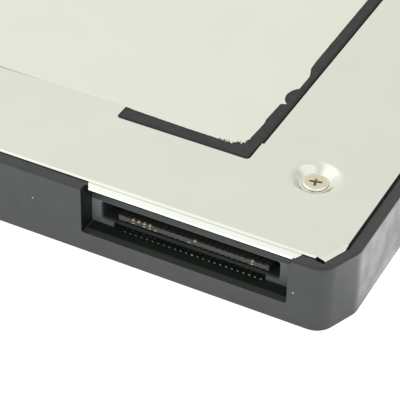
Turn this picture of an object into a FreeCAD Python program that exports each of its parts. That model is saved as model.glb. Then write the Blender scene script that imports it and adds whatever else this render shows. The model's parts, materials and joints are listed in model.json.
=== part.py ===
import FreeCAD, Part
import math
import os

# Solid state drive in the 2.5-inch outline, built piece by piece, in millimetres.
# +Z is up. The connector end faces -Y. The origin is the middle of the underside.

os.makedirs("parts", exist_ok=True)

V = FreeCAD.Vector

# ---------------------------------------------------------------- driving dimensions

body_width = 69.85
body_length = 100.0
body_height = 9.5
half_width = body_width / 2
front = -body_length / 2
back = body_length / 2
past = 1.0                      # how far a cutting tool runs past the faces that it cuts

# Heights, measured up from the underside.
foil_thickness = 0.06
sheet = 0.30
cover_top = body_height - foil_thickness
cover_under = cover_top - sheet
rim_top = 9.17
seat_floor = 8.55
bottom_sheet = 0.40
board_thickness = 1.0
main_board_top = 2.84
main_board_under = main_board_top - board_thickness
flash_board_under = 6.04
flash_board_top = flash_board_under + board_thickness

# Frame walls and its chamfered front corners.
corner_across = 2.1
corner_along = 5.1
corner_soft = 2.5
rear_corner_radius = 2.0
outer_edge_radius = 0.25
wall = 2.1
front_wall = 2.4
well_front_radius = 1.6
well_back_radius = 1.2
thin_wall = 1.33
thin_front_wall = 1.46
thin_corner_wall = 1.15
seat_front_radius = 0.6
seat_back_radius = 1.4

# Top cover: how far its edges lie inside the outline, and its bends.
cover_side_inset = 1.65
cover_front_inset = 1.60
cover_corner_inset = 1.25
cover_back_radius = 1.3
flange_foot = 8.60
front_bevel_drop = 0.20
front_bevel_run = 0.20
corner_bevel_drop = 0.26
corner_bevel_run = 0.56

# Bend relief between the front flange and each corner flange.
relief_x = 31.56
relief_y = -48.51
relief_half_length = 0.64
relief_half_width = 0.21
relief_turn = -10

# Connector recess in the front wall, and the cover's tab over it.
recess_left = 2.11
recess_right = 28.45
recess_floor = main_board_top
recess_radius = 0.25
tab_root_left = 2.40
tab_root_right = 29.38
tab_tip_left = 2.72
tab_tip_right = 28.86
tab_valley = -48.66
tab_tip = -49.20
tab_root_height = cover_top - front_bevel_drop
tab_tip_height = 9.00
tab_gap = 0.05
tab_pocket_right = 28.78

# Cover screws and their dimples.
screw_x = 25.1
screw_y = 35.5
dimple_rim = 3.4
dimple_radius = 2.9
dimple_rim_bend = 1.2
dimple_floor_radius = 1.85
dimple_floor_bend = 0.45
dimple_floor_top = 8.58
head_radius = 1.52
head_height = 0.31
head_edge = 0.20
head_recess_depth = 0.55
cover_screw_length = 3.4
cover_screw_turns = (35, 62, 15, 78)
shank_radius = 0.98
thread_radius = 1.0
screw_hole_radius = 1.1
boss_radius = 2.6
boss_web = 1.6
boss_web_top = 6.5
cover_insert_radius = 1.6
cover_insert_length = 3.2

# Countersunk screws in the bottom cover, on the same centres.
countersink_mouth = 1.9
countersink_depth = 0.9
bottom_screw_length = 3.2
bottom_screw_bore = 4.0
bottom_recess_depth = 0.55
bottom_recess_reach = 1.1
bottom_recess_width = 0.36
bottom_screw_turn = 20

# Threaded mounting holes in the underside.
mount_x = 30.86
mount_front_y = -36.0
mount_rear_y = 40.6
mount_thread_radius = 1.25
mount_insert_radius = 2.05
mount_insert_length = 4.0
mount_boss_radius = 2.9
mount_boss_top = 5.4
mount_web = 2.4
mount_web_under = 0.6
hole_clearance = 0.15

# L-shaped slot in the cover, beside the foil label, and the foam strip that shows in it.
slot_front = -36.14
slot_left = -0.95
slot_right = 16.76
slot_right_step = 17.02
slot_step_y = -32.50
slot_front_inner = -32.90
slot_inner = 14.20
slot_back = 27.0
slot_end_radius = 0.55
foam_lap = 1.2
foam_under = 8.50
foam_top = 9.36
foam_gap_right = 0.26
foam_gap_front = 0.12
foam_gap_left = 0.06

# Foil label. Its torn edge runs from front left, round the slot's corner, to the back.
foil_left = -29.0
foil_back = 30.5
foil_right = 15.22
foil_screw_clearance = 4.2
torn_front = [(foil_left, -33.74), (-0.3, -33.80), (7.4, -34.06), (12.3, -34.08), (13.4, -33.90),
              (14.75, -33.40), (15.05, -32.6), (foil_right, -28.9), (15.08, -27.8),
              (foil_right, -24.2), (15.62, -24.0)]
torn_bump = [(15.88, -23.85), (15.04, -21.90), (15.88, -20.15)]
torn_rear = [(15.90, -17.2), (15.30, -15.4), (foil_right, -13.5)]

# Host connector.
contact_count = 25
contact_pitch = 0.7328
first_contact_x = 6.64
housing_left = 2.08
housing_right = 27.57
housing_front = -47.43
housing_back = -40.60
housing_top = 6.92
socket_left = 3.36
socket_right = 26.41
socket_floor = 3.48
socket_ceiling = 6.11
socket_back = -42.90
socket_radius = 0.35
lip_left = 4.97
lip_right = 24.68
lip_setback = 0.55
foot_space_back = -43.3
foot_clearance = 0.03
tongue_left = 5.48
tongue_right = 24.85
tongue_front = -47.07
tongue_under = 3.90
tongue_top = 4.62
tongue_slot_width = 0.36
tongue_slot_depth = 0.22
contact_width = 0.30
contact_thickness = 0.12
upper_heel = -39.5
lower_turn = -43.6
lower_tip = housing_front + 0.10
tail_solder_length = 0.40
tail_solder_width = 0.38
tail_solder_height = 0.14
tail_solder_round = 0.10
peg_inset = 2.2
peg_y = -42.0
peg_radius = 0.50
peg_hole_radius = 0.55
peg_foot = 2.0
hold_down_front = -45.0
hold_down_back = -42.5
hold_down_sheet = 0.25
hold_down_top = 5.6
hold_down_reach = 0.7
gasket_front = -46.4
gasket_back = -44.2
gasket_inset = 0.2

# Main board outline.
board_half_width = 27.6
board_front_half_width = 28.35
board_ear_back = -39.6
board_front = -48.85
board_back = 46.5
board_clearance = 0.1
board_side_clearance = 0.15
boss_notch_radius = 2.9
film_thickness = 0.1
film_front = -46.8
film_back = 46.0
film_clearance = 0.3

# Stacked flash board and its spacers.
flash_board_half_width = 20.5
flash_board_front = -39.6
flash_board_back = 45.5
spacer_x = 18.6
spacer_front_y = -37.4
spacer_rear_y = 43.2
spacer_across_flats = 3.2
spacer_bore_floor = 4.2
stud_radius = 0.78
stud_bore_radius = 0.80
stud_foot = 0.6
stud_bore_floor = 0.45
spacer_hole_radius = 0.95
standoff_radius = 1.75
standoff_foot_radius = 1.1
standoff_foot_under = 0.05
small_head_radius = 1.45
small_head_height = 0.75
small_head_edge = 0.40
small_recess_depth = 0.52
small_screw_length = 2.5
small_screw_turn = 25

# Memory packages: columns and rows of their centres.
flash_width = 14.0
flash_length = 18.0
flash_height = 1.1
ball_gap = 0.25
ball_margin = 1.5
stacked_columns = (-11.8, 4.6)
stacked_rows = (-26.0, -6.5, 13.0, 32.0)
main_columns = (-6.4, 9.4)
main_rows = (8.5, 29.5)
pad_half_width = 5.0
pad_half_length = 5.2
package_edge = 0.12

# Controller under the main board, cache memory and clock on top of it.
controller_x = -2.0
controller_y = -24.0
controller_half = 8.0
controller_under = 0.80
controller_solder = 0.10
thermal_pad_half = 7.5
film_window_half = 8.6
cache_x = 8.0
cache_y = -22.0
cache_side = 12.5
cache_height = 1.0
clock_x = 20.5
clock_y = -22.0
clock_size = (5.0, 3.2, 1.1)

# Eight-lead packages and their gull-wing leads.
lead_package_x = 21.8
regulator_y = -11.0
boot_memory_y = 2.0
lead_package_size = (3.9, 4.9, 1.4)
lead_package_lift = 0.15
lead_pitch = 1.27
lead_width = 0.4
lead_rows = 4
gull_profile = [(0, 0.55), (0.35, 0.55), (0.55, 0.15), (1.05, 0.15), (1.05, 0), (0.45, 0),
                (0.25, 0.40), (0, 0.40)]

# Stacking connector between the boards.
stacking_x = -18.0
stacking_y = -4.0
stacking_half_width = 2.0
stacking_half_length = 16.0
stacking_wall = 0.9
stacking_socket_top = 4.3
stacking_socket_floor = 3.3
stacking_plug_under = 4.74
stacking_blade_half_width = 0.55
stacking_blade_half_length = 14.6
stacking_blade_under = 3.5
stacking_pins = 30
stacking_pitch = 1.0
stacking_contact = (0.55, 0.30)
stacking_contact_heights = (3.45, 4.1)

# Small components in rows: where the row starts, its step and the size of each piece.
inductor_rows = (12.0, 18.6)
inductor_size = (4.4, 4.4, 2.2)
reservoir_x = -24.2
reservoir_rows = (-26.0, -17.5, -9.0, -0.5)
reservoir_size = (4.3, 7.3, 2.8)
ceramic_size = (1.6, 0.8, 0.8)
ceramic_runs = [(-24.9, 5.0, 2.2, 12), (-14.0, -33.0, 2.1, 10)]
resistor_start = (2.0, -38.3)
resistor_size = (0.5, 1.0, 0.4)
resistor_step = 1.0
resistor_count = 14

# Earthing springs between the main board and the top cover.
spring_inner_x = 25.6
spring_outer_x = 27.2
spring_y = 24.0
spring_half_width = 1.5
spring_sheet = 0.20


# ---------------------------------------------------------------- small helpers

def save(node, solids):
    """Writes one node: a single solid, or a group of separate solids."""
    shape = solids[0] if len(solids) == 1 else Part.makeCompound(solids)
    shape.exportStep("parts/" + node + ".step")


def box(x0, x1, y0, y1, z0, z1):
    return Part.makeBox(x1 - x0, y1 - y0, z1 - z0, V(x0, y0, z0))


def block(x, y, z, size):
    """A box of the given width, length and height, standing on z and centred on x, y."""
    width, length, height = size
    return box(x - width / 2, x + width / 2, y - length / 2, y + length / 2, z, z + height)


def cylinder(x, y, z0, z1, radius):
    return Part.makeCylinder(radius, z1 - z0, V(x, y, z0))


def polygon(corners):
    return Part.Face(Part.makePolygon(corners + corners[:1]))


def prism(points, z0, z1):
    """A polygon in plan, raised from z0 to z1."""
    return polygon([V(x, y, z0) for x, y in points]).extrude(V(0, 0, z1 - z0))


def side_prism(points, x0, x1):
    """A polygon of (y, z) points, pushed from x0 to x1."""
    return polygon([V(x0, y, z) for y, z in points]).extrude(V(x1 - x0, 0, 0))


def front_prism(points, y0, y1):
    """A polygon of (x, z) points, pushed from y0 to y1."""
    return polygon([V(x, y0, z) for x, z in points]).extrude(V(0, y1 - y0, 0))


def turned(points, x, y):
    """A closed profile of (radius, z) points, turned about the upright line at x, y."""
    return polygon([V(x + r, y, z) for r, z in points]).revolve(V(x, y, 0), V(0, 0, 1), 360)


def round_upright_edges(shape, places, radius):
    """Rounds the upright edges that stand at the given plan points."""
    chosen = []
    for edge in shape.Edges:
        ends = [vertex.Point for vertex in edge.Vertexes]
        if len(ends) != 2:
            continue
        upright = math.hypot(ends[0].x - ends[1].x, ends[0].y - ends[1].y) < 1e-6
        near = [p for p in places if math.hypot(ends[0].x - p[0], ends[0].y - p[1]) < 0.01]
        if upright and near:
            chosen.append(edge)
    return shape.makeFillet(radius, chosen)


def round_ring(shape, radius, z, bend):
    """Rounds the circular edge of the given radius at height z."""
    rings = []
    for edge in shape.Edges:
        circle = isinstance(edge.Curve, Part.Circle)
        if circle and abs(edge.Curve.Radius - radius) < 1e-4 and abs(edge.Curve.Center.z - z) < 1e-4:
            rings.append(edge)
    return shape.makeFillet(bend, rings)


def edges_at(shape, z):
    """The edges whose middle lies at height z."""
    return [edge for edge in shape.Edges if abs(edge.CenterOfMass.z - z) < 0.001]


def fused(shapes):
    return shapes[0].multiFuse(shapes[1:]).removeSplitter()


def four_places(x, front_y, rear_y):
    return [(side * x, y) for side in (-1, 1) for y in (front_y, rear_y)]


def span(a, b):
    """Two coordinates in rising order."""
    return min(a, b), max(a, b)


# ---------------------------------------------------------------- plan outline

corner_length = math.hypot(corner_across, corner_along)
corner_normal = (corner_along / corner_length, -corner_across / corner_length)
corner_reach = corner_normal[0] * (half_width - corner_across) + corner_normal[1] * front


def outline(side_inset, front_inset, corner_inset, back_inset):
    """Plan outline with both front corners cut off, each edge moved in by its own inset."""
    x_side = half_width - side_inset
    y_front = front + front_inset
    y_back = back - back_inset
    reach = corner_reach - corner_inset
    x_cut = (reach - corner_normal[1] * y_front) / corner_normal[0]
    y_cut = (reach - corner_normal[0] * x_side) / corner_normal[1]
    right = [(x_cut, y_front), (x_side, y_cut), (x_side, y_back)]
    left = [(-x, y) for x, y in reversed(right)]
    return right + left


def outline_prism(insets, z0, z1, front_radius, back_radius):
    points = outline(*insets)
    body = prism(points, z0, z1)
    front_places = [points[0], points[1], points[4], points[5]]
    back_places = [points[2], points[3]]
    body = round_upright_edges(body, front_places, front_radius)
    return round_upright_edges(body, back_places, back_radius)


# ---------------------------------------------------------------- fasteners

cover_screw_places = four_places(screw_x, -screw_y, screw_y)
mount_places = four_places(mount_x, mount_front_y, mount_rear_y)
spacer_places = four_places(spacer_x, spacer_front_y, spacer_rear_y)


def cross_recess(x, y, top, depth, reach, width, turn):
    """The cross-shaped driver recess: two blades that narrow towards the bottom."""
    blades = []
    foot = reach * 0.35
    profile = [(-reach, top + 0.1), (reach, top + 0.1), (foot, top - depth), (-foot, top - depth)]
    for angle in (turn, turn + 90):
        blade = side_prism(profile, -width / 2, width / 2)
        blade.rotate(V(0, 0, 0), V(0, 0, 1), angle)
        blade.translate(V(x, y, 0))
        blades.append(blade)
    return blades[0].fuse(blades[1])


def pan_screw(x, y, seat, head, shank, recess_depth, turn):
    """A pan-head screw standing on its seat. head and shank are its sizes: see the callers."""
    radius, height, edge = head
    shank_size, length = shank
    body = round_ring(cylinder(x, y, seat, seat + height, radius), radius, seat + height, edge)
    screw = body.fuse(cylinder(x, y, seat - length, seat, shank_size))
    reach = radius * 0.58
    return screw.cut(cross_recess(x, y, seat + height, recess_depth, reach, reach * 0.36, turn))


def make_cover_screws():
    head = (head_radius, head_height, head_edge)
    shank = (shank_radius, cover_screw_length)
    screws = [pan_screw(x, y, dimple_floor_top, head, shank, head_recess_depth, turn)
              for (x, y), turn in zip(cover_screw_places, cover_screw_turns)]
    save("top_cover_screws", screws)


def sleeve(x, y, z0, z1, outer, bore):
    return cylinder(x, y, z0, z1, outer).cut(cylinder(x, y, z0, z1, bore))


def make_inserts():
    top = dimple_floor_top - sheet
    foot = top - cover_insert_length
    save("top_cover_inserts", [sleeve(x, y, foot, top, cover_insert_radius, thread_radius)
                               for x, y in cover_screw_places])
    save("mount_thread_inserts", [sleeve(x, y, 0, mount_insert_length, mount_insert_radius,
                                         mount_thread_radius) for x, y in mount_places])


def countersink(x, y, depth):
    """A countersunk head in the underside, with its shank to the given depth."""
    profile = [(0, 0), (countersink_mouth, 0), (shank_radius, countersink_depth),
               (shank_radius, depth), (0, depth)]
    return turned(profile, x, y)


def make_bottom_screws():
    screws = []
    for x, y in cover_screw_places:
        recess = cross_recess(0, 0, 0, bottom_recess_depth, bottom_recess_reach, bottom_recess_width,
                              bottom_screw_turn)
        recess.rotate(V(0, 0, 0), V(1, 0, 0), 180)
        recess.translate(V(x, y, 0))
        screws.append(countersink(x, y, bottom_screw_length).cut(recess))
    save("bottom_cover_screws", screws)


# ---------------------------------------------------------------- frame

def relief_prism(side, z0, z1):
    """The rounded slot at the bend corner of the cover, as a cutting tool."""
    run = relief_half_length - relief_half_width
    tool = box(-run, run, -relief_half_width, relief_half_width, z0, z1)
    for end in (-run, run):
        tool = tool.fuse(cylinder(end, 0, z0, z1, relief_half_width))
    tool.rotate(V(0, 0, 0), V(0, 0, 1), side * relief_turn)
    tool.translate(V(side * relief_x, relief_y, 0))
    return tool


def tab_outline():
    """Plan of the cover's tab, running back under the cover's front flange."""
    root = front + cover_front_inset + sheet / 2
    return [(tab_tip_left, tab_tip), (tab_tip_right, tab_tip), (tab_root_right, tab_valley),
            (tab_root_right, root), (tab_root_left, root), (tab_root_left, tab_valley)]


def tab_pocket():
    """The space in the front wall that takes the tab's right end, open to the front."""
    floor = tab_tip_height - sheet - tab_gap
    root = front + thin_front_wall
    points = [(recess_left + past, front - past), (tab_pocket_right, front - past),
              (tab_pocket_right, front), (tab_root_right + tab_gap, tab_valley),
              (tab_root_right + tab_gap, root), (recess_left + past, root)]
    return prism(points, floor, rim_top + past)


def make_bosses():
    """Screw bosses and their webs to the side walls."""
    pieces = []
    for x, y in cover_screw_places:
        pieces.append(cylinder(x, y, bottom_sheet, dimple_floor_top - sheet, boss_radius))
        x0, x1 = span(x, math.copysign(half_width - wall / 2, x))
        pieces.append(box(x0, x1, y - boss_web / 2, y + boss_web / 2, main_board_top + 0.3, boss_web_top))
    for x, y in mount_places:
        pieces.append(cylinder(x, y, 0, mount_boss_top, mount_boss_radius))
        x0, x1 = span(x, math.copysign(half_width - wall / 2, x))
        pieces.append(box(x0, x1, y - mount_web / 2, y + mount_web / 2, mount_web_under, mount_boss_top))
    return pieces


def make_frame():
    body = outline_prism((0, 0, 0, 0), 0, rim_top, corner_soft, rear_corner_radius)
    body = body.makeFillet(outer_edge_radius, edges_at(body, 0) + edges_at(body, rim_top))
    well = outline_prism((wall, front_wall, wall, wall), -past, rim_top + past,
                         well_front_radius, well_back_radius)
    seat = outline_prism((thin_wall, thin_front_wall, thin_corner_wall, thin_wall), seat_floor,
                         rim_top + past, seat_front_radius, seat_back_radius)
    bottom_seat = outline_prism((cover_side_inset,) * 4, -past, bottom_sheet,
                                well_front_radius + 0.2, well_back_radius + 0.2)
    frame = body.cut(well).cut(seat).cut(bottom_seat)
    keep_inside = outline_prism((0.5, 0.5, 0.5, 0.5), -past, rim_top, corner_soft, rear_corner_radius)
    frame = fused([frame] + [boss.common(keep_inside) for boss in make_bosses()])

    wall_back = front + front_wall
    recess = box(recess_left, recess_right, front - past, wall_back + past, recess_floor, rim_top + past)
    floor_edges = [e for e in edges_at(recess, recess_floor) if abs(e.tangentAt(0).y) > 0.9]
    board_slot = box(-board_front_half_width - board_side_clearance,
                     board_front_half_width + board_side_clearance,
                     board_front - board_clearance, wall_back + board_clearance,
                     main_board_under - board_clearance, recess_floor)
    cutters = [recess.makeFillet(recess_radius, floor_edges), board_slot, tab_pocket()]
    for side in (-1, 1):
        cutters.append(relief_prism(side, seat_floor, rim_top + past))
    boss_top = dimple_floor_top - sheet
    for x, y in cover_screw_places:
        cutters.append(cylinder(x, y, boss_top - cover_insert_length, boss_top, cover_insert_radius))
        cutters.append(countersink(x, y, bottom_screw_bore))
    for x, y in mount_places:
        cutters.append(cylinder(x, y, -past, mount_insert_length, mount_insert_radius))
    for cutter in cutters:
        frame = frame.cut(cutter)
    save("frame", frame.Solids)


# ---------------------------------------------------------------- top cover

def slot_prism(left, front_edge, right, inner, z0, z1):
    """The L-shaped slot, each of its edges moved out by its own amount."""
    x_left = slot_left - left
    x_right = slot_right + right
    x_step = slot_right_step + right
    x_inner = slot_inner - inner
    y_front = slot_front - front_edge
    y_inner = slot_front_inner + inner
    y_back = slot_back + inner
    points = [(x_left, y_front), (x_right, y_front), (x_right, slot_step_y), (x_step, slot_step_y),
              (x_step, y_back), (x_inner, y_back), (x_inner, y_inner), (x_left, y_inner)]
    ends = [points[0], points[1], points[4], points[5], points[7]]
    return round_upright_edges(prism(points, z0, z1), ends, slot_end_radius)


def bevel_wedge(start, end, inward, run, drop):
    """The sliver that a bevel takes off a top edge between two plan points."""
    side = V(inward[0], inward[1], 0)
    base = V(start[0], start[1], 0)
    low = V(0, 0, cover_top - drop)
    outside = base - side * past
    corners = [outside + low, base + low, base + side * run + V(0, 0, cover_top),
               base + side * run + V(0, 0, cover_top + past), outside + V(0, 0, cover_top + past)]
    return polygon(corners).extrude(V(end[0] - start[0], end[1] - start[1], 0))


def make_dimple(x, y):
    """The sheet pressed down around a screw hole, with soft bends at rim and floor."""
    floor_under = dimple_floor_top - sheet
    fall = math.atan2(cover_top - dimple_floor_top, dimple_radius - dimple_floor_radius)
    shift = sheet * math.tan(fall / 2)
    profile = [(screw_hole_radius, floor_under), (dimple_floor_radius - shift, floor_under),
               (dimple_radius - shift, cover_under), (dimple_rim, cover_under), (dimple_rim, cover_top),
               (dimple_radius, cover_top), (dimple_floor_radius, dimple_floor_top),
               (screw_hole_radius, dimple_floor_top)]
    dimple = turned(profile, x, y)
    dimple = round_ring(dimple, dimple_radius, cover_top, dimple_rim_bend)
    dimple = round_ring(dimple, dimple_radius - shift, cover_under, dimple_rim_bend - sheet)
    dimple = round_ring(dimple, dimple_floor_radius, dimple_floor_top, dimple_floor_bend)
    return round_ring(dimple, dimple_floor_radius - shift, floor_under, dimple_floor_bend + sheet)


def make_tab():
    """The sheet that runs forward from the cover, over the connector recess."""
    root = front + cover_front_inset + sheet / 2
    profile = [(root, tab_root_height), (tab_valley, tab_root_height), (tab_tip, tab_tip_height),
               (tab_tip, tab_tip_height - sheet), (tab_valley, tab_root_height - sheet),
               (root, tab_root_height - sheet)]
    strip = side_prism(profile, tab_root_left - past, tab_root_right + past)
    return strip.common(prism(tab_outline(), seat_floor, cover_top))


def make_top_cover():
    edge = (cover_side_inset, cover_front_inset, cover_corner_inset, cover_side_inset)
    inside = tuple(inset + sheet for inset in edge)
    points = outline(*edge)
    shell = prism(points, flange_foot, cover_top)
    shell = round_upright_edges(shell, [points[2], points[3]], cover_back_radius)

    near, far = points[0], points[1]
    tools = [bevel_wedge((-near[0] - past, near[1]), (near[0] + past, near[1]), (0, 1),
                         front_bevel_run, front_bevel_drop)]
    for side in (-1, 1):
        lead = ((far[0] - near[0]) * 0.3, (far[1] - near[1]) * 0.3)
        start = (side * (near[0] - lead[0]), near[1] - lead[1])
        end = (side * (far[0] + lead[0]), far[1] + lead[1])
        inward = (-side * corner_normal[0], -corner_normal[1])
        tools.append(bevel_wedge(start, end, inward, corner_bevel_run, corner_bevel_drop))
        tools.append(relief_prism(side, flange_foot - past, cover_top + past))
    tools.append(prism(outline(*inside), flange_foot - past, cover_under))
    for tool in tools:
        shell = shell.cut(tool)

    for x, y in cover_screw_places:
        shell = shell.cut(cylinder(x, y, flange_foot, cover_top + past, dimple_rim))
        shell = shell.fuse(make_dimple(x, y))
    shell = shell.fuse(make_tab())
    shell = shell.cut(slot_prism(0, 0, 0, 0, cover_under - past, cover_top + past))
    save("top_cover", shell.removeSplitter().Solids)


def make_foam_strip():
    lower = slot_prism(foam_lap, foam_lap, foam_lap, foam_lap, foam_under, cover_under)
    land = slot_prism(-foam_gap_left, -foam_gap_front, -foam_gap_right, -foam_gap_left,
                      cover_under, foam_top)
    save("label_foam_strip", lower.fuse(land).removeSplitter().Solids)


def foil_line(points):
    corners = [V(x, y, cover_top) for x, y in points]
    return [Part.LineSegment(a, b).toShape() for a, b in zip(corners[:-1], corners[1:])]


def make_foil():
    """The label: a thin foil whose torn edge leaves an L of the dark strip uncovered."""
    start, top, end = [V(x, y, cover_top) for x, y in torn_bump]
    edges = foil_line(torn_front + torn_bump[:1])
    edges.append(Part.Arc(start, top, end).toShape())
    edges += foil_line(torn_bump[-1:] + torn_rear + [(foil_right, foil_back), (foil_left, foil_back),
                                                     torn_front[0]])
    foil = Part.Face(Part.Wire(edges)).extrude(V(0, 0, foil_thickness))
    screw_window = cylinder(-screw_x, -screw_y, cover_top - past, cover_top + past, foil_screw_clearance)
    save("label_foil", foil.cut(screw_window).Solids)


# ---------------------------------------------------------------- bottom cover

def make_bottom_cover():
    inset = cover_side_inset + 0.1
    plate = outline_prism((inset, inset, inset, inset), 0, bottom_sheet,
                          well_front_radius + 0.2, well_back_radius + 0.2)
    for x, y in mount_places:
        plate = plate.cut(cylinder(x, y, -past, past, mount_boss_radius + hole_clearance))
    for x, y in cover_screw_places:
        plate = plate.cut(countersink(x, y, bottom_screw_length))
    for x, y in spacer_places:
        plate = plate.cut(cylinder(x, y, -past, past, standoff_foot_radius))
    save("bottom_cover", [plate])


def make_insulator():
    film_top = bottom_sheet + film_thickness
    film = box(-board_half_width, board_half_width, film_front, film_back, bottom_sheet, film_top)
    for x, y in cover_screw_places:
        film = film.cut(cylinder(x, y, 0, past, boss_radius + film_clearance))
    for x, y in spacer_places:
        film = film.cut(cylinder(x, y, 0, past, standoff_radius + film_clearance))
    window = 2 * film_window_half
    film = film.cut(block(controller_x, controller_y, 0, (window, window, past)))
    save("insulator_film", film.Solids)


# ---------------------------------------------------------------- boards

peg_xs = (housing_left + peg_inset, housing_right - peg_inset)


def make_main_board():
    board = box(-board_half_width, board_half_width, board_front, board_back,
                main_board_under, main_board_top)
    ears = box(-board_front_half_width, board_front_half_width, board_front, board_ear_back,
               main_board_under, main_board_top)
    board = board.fuse(ears).removeSplitter()
    for x, y in cover_screw_places:
        board = board.cut(cylinder(x, y, 0, main_board_top + past, boss_notch_radius))
    for x, y in spacer_places:
        board = board.cut(cylinder(x, y, 0, main_board_top + past, spacer_hole_radius))
    for x in peg_xs:
        board = board.cut(cylinder(x, peg_y, 0, main_board_top + past, peg_hole_radius))
    save("main_board", board.Solids)


def make_flash_board():
    board = box(-flash_board_half_width, flash_board_half_width, flash_board_front, flash_board_back,
                flash_board_under, flash_board_top)
    for x, y in spacer_places:
        board = board.cut(cylinder(x, y, main_board_top, flash_board_top + past, spacer_hole_radius))
    save("flash_board", board.Solids)


def hexagon(x, y, across_flats):
    reach = across_flats / 2 / math.cos(math.radians(30))
    turns = [math.radians(60 * i + 30) for i in range(6)]
    return [(x + reach * math.cos(turn), y + reach * math.sin(turn)) for turn in turns]


def make_board_hardware():
    """Standoffs under the main board, hex spacers with studs, and screws through the flash board."""
    standoffs = []
    spacers = []
    screws = []
    head = (small_head_radius, small_head_height, small_head_edge)
    shank = (stud_radius, small_screw_length)
    for x, y in spacer_places:
        foot = cylinder(x, y, standoff_foot_under, bottom_sheet, standoff_foot_radius)
        post = cylinder(x, y, bottom_sheet, main_board_under, standoff_radius)
        bore = cylinder(x, y, stud_bore_floor, main_board_under + past, stud_bore_radius)
        standoffs.append(foot.fuse(post).removeSplitter().cut(bore))
        body = prism(hexagon(x, y, spacer_across_flats), main_board_top, flash_board_under)
        stud = cylinder(x, y, stud_foot, main_board_top, stud_radius)
        bore = cylinder(x, y, spacer_bore_floor, flash_board_under + past, stud_bore_radius)
        spacers.append(body.fuse(stud).removeSplitter().cut(bore))
        screws.append(pan_screw(x, y, flash_board_top, head, shank, small_recess_depth, small_screw_turn))
    save("board_standoffs", standoffs)
    save("board_spacers", spacers)
    save("board_screws", screws)


def make_board_to_board():
    """The pair of stacking connectors between the boards, with their contacts."""
    width = 2 * stacking_half_width
    length = 2 * stacking_half_length
    socket = block(stacking_x, stacking_y, main_board_top,
                   (width, length, stacking_socket_top - main_board_top))
    hollow = (width - 2 * stacking_wall, length - 2 * stacking_wall, past + 1)
    socket = socket.cut(block(stacking_x, stacking_y, stacking_socket_floor, hollow))
    plug = block(stacking_x, stacking_y, stacking_plug_under,
                 (width, length, flash_board_under - stacking_plug_under))
    blade = block(stacking_x, stacking_y, stacking_blade_under,
                  (2 * stacking_blade_half_width, 2 * stacking_blade_half_length,
                   stacking_plug_under - stacking_blade_under))
    reach, wide = stacking_contact
    low, high = stacking_contact_heights
    contacts = []
    for i in range(stacking_pins):
        y = stacking_y + stacking_pitch * (i - (stacking_pins - 1) / 2)
        for side in (-1, 1):
            x = stacking_x + side * (stacking_blade_half_width + reach / 2)
            contacts.append(block(x, y, low, (reach, wide, high - low)))
    save("stacking_socket", [socket])
    save("stacking_plug", [plug.fuse(blade).removeSplitter()])
    save("stacking_contacts", contacts)


# ---------------------------------------------------------------- components on the boards

def package(x, y, z, size):
    """A moulded package with its top edges eased."""
    body = block(x, y, z, size)
    return body.makeChamfer(package_edge, edges_at(body, z + size[2]))


def make_flash_packages():
    """Flash packages on both boards, each on a thin bed that stands for its solder balls."""
    size = (flash_width, flash_length, flash_height)
    bed = (flash_width - 2 * ball_margin, flash_length - 2 * ball_margin, ball_gap)
    main = [(x, y) for x in main_columns for y in main_rows]
    stacked = [(x, y) for x in stacked_columns for y in stacked_rows]
    save("main_board_flash", [package(x, y, main_board_top + ball_gap, size) for x, y in main])
    save("flash_board_flash", [package(x, y, flash_board_top + ball_gap, size) for x, y in stacked])
    beds = [block(x, y, main_board_top, bed) for x, y in main]
    beds += [block(x, y, flash_board_top, bed) for x, y in stacked]
    cache_bed = cache_side - 2 * ball_margin
    beds.append(block(cache_x, cache_y, main_board_top, (cache_bed, cache_bed, ball_gap)))
    save("package_solder_beds", beds)


def make_controller():
    """The controller hangs under the main board and passes its heat to the bottom cover."""
    solder_under = main_board_under - controller_solder
    side = 2 * controller_half
    chip_size = (side, side, solder_under - controller_under)
    chip = block(controller_x, controller_y, controller_under, chip_size)
    save("controller_chip", [chip.makeChamfer(package_edge, edges_at(chip, controller_under))])
    bed = side - ball_margin
    bed_size = (bed, bed, controller_solder)
    save("controller_solder_bed", [block(controller_x, controller_y, solder_under, bed_size)])
    pad = 2 * thermal_pad_half
    pad_size = (pad, pad, controller_under - bottom_sheet)
    save("controller_thermal_pad", [block(controller_x, controller_y, bottom_sheet, pad_size)])


def make_cache_and_clock():
    cache_size = (cache_side, cache_side, cache_height)
    save("cache_memory", [package(cache_x, cache_y, main_board_top + ball_gap, cache_size)])
    save("clock_crystal", [package(clock_x, clock_y, main_board_top, clock_size)])


def make_regulators():
    """Two eight-lead packages: the supply regulator and the boot memory."""
    leads = []
    under = main_board_top + lead_package_lift
    for node, y in (("voltage_regulator", regulator_y), ("boot_memory", boot_memory_y)):
        save(node, [package(lead_package_x, y, under, lead_package_size)])
        for i in range(lead_rows):
            lead_y = y + lead_pitch * (i - (lead_rows - 1) / 2)
            for side in (-1, 1):
                edge = lead_package_x + side * lead_package_size[0] / 2
                profile = [(edge + side * u, main_board_top + v) for u, v in gull_profile]
                leads.append(front_prism(profile, lead_y - lead_width / 2, lead_y + lead_width / 2))
    save("regulator_leads", leads)


def make_passives():
    save("power_inductors", [package(lead_package_x, y, main_board_top, inductor_size)
                             for y in inductor_rows])
    save("reservoir_capacitors", [package(reservoir_x, y, main_board_top, reservoir_size)
                                  for y in reservoir_rows])
    ceramics = []
    width, length, height = ceramic_size
    for x, first_y, step, count in ceramic_runs:
        for i in range(count):
            y = first_y + step * i
            ceramics.append(box(x, x + width, y, y + length, main_board_top, main_board_top + height))
    save("ceramic_capacitors", ceramics)
    resistors = []
    width, length, height = resistor_size
    for i in range(resistor_count):
        x = resistor_start[0] + resistor_step * i
        y = resistor_start[1]
        resistors.append(box(x, x + width, y, y + length, main_board_top, main_board_top + height))
    save("line_resistors", resistors)


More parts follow.
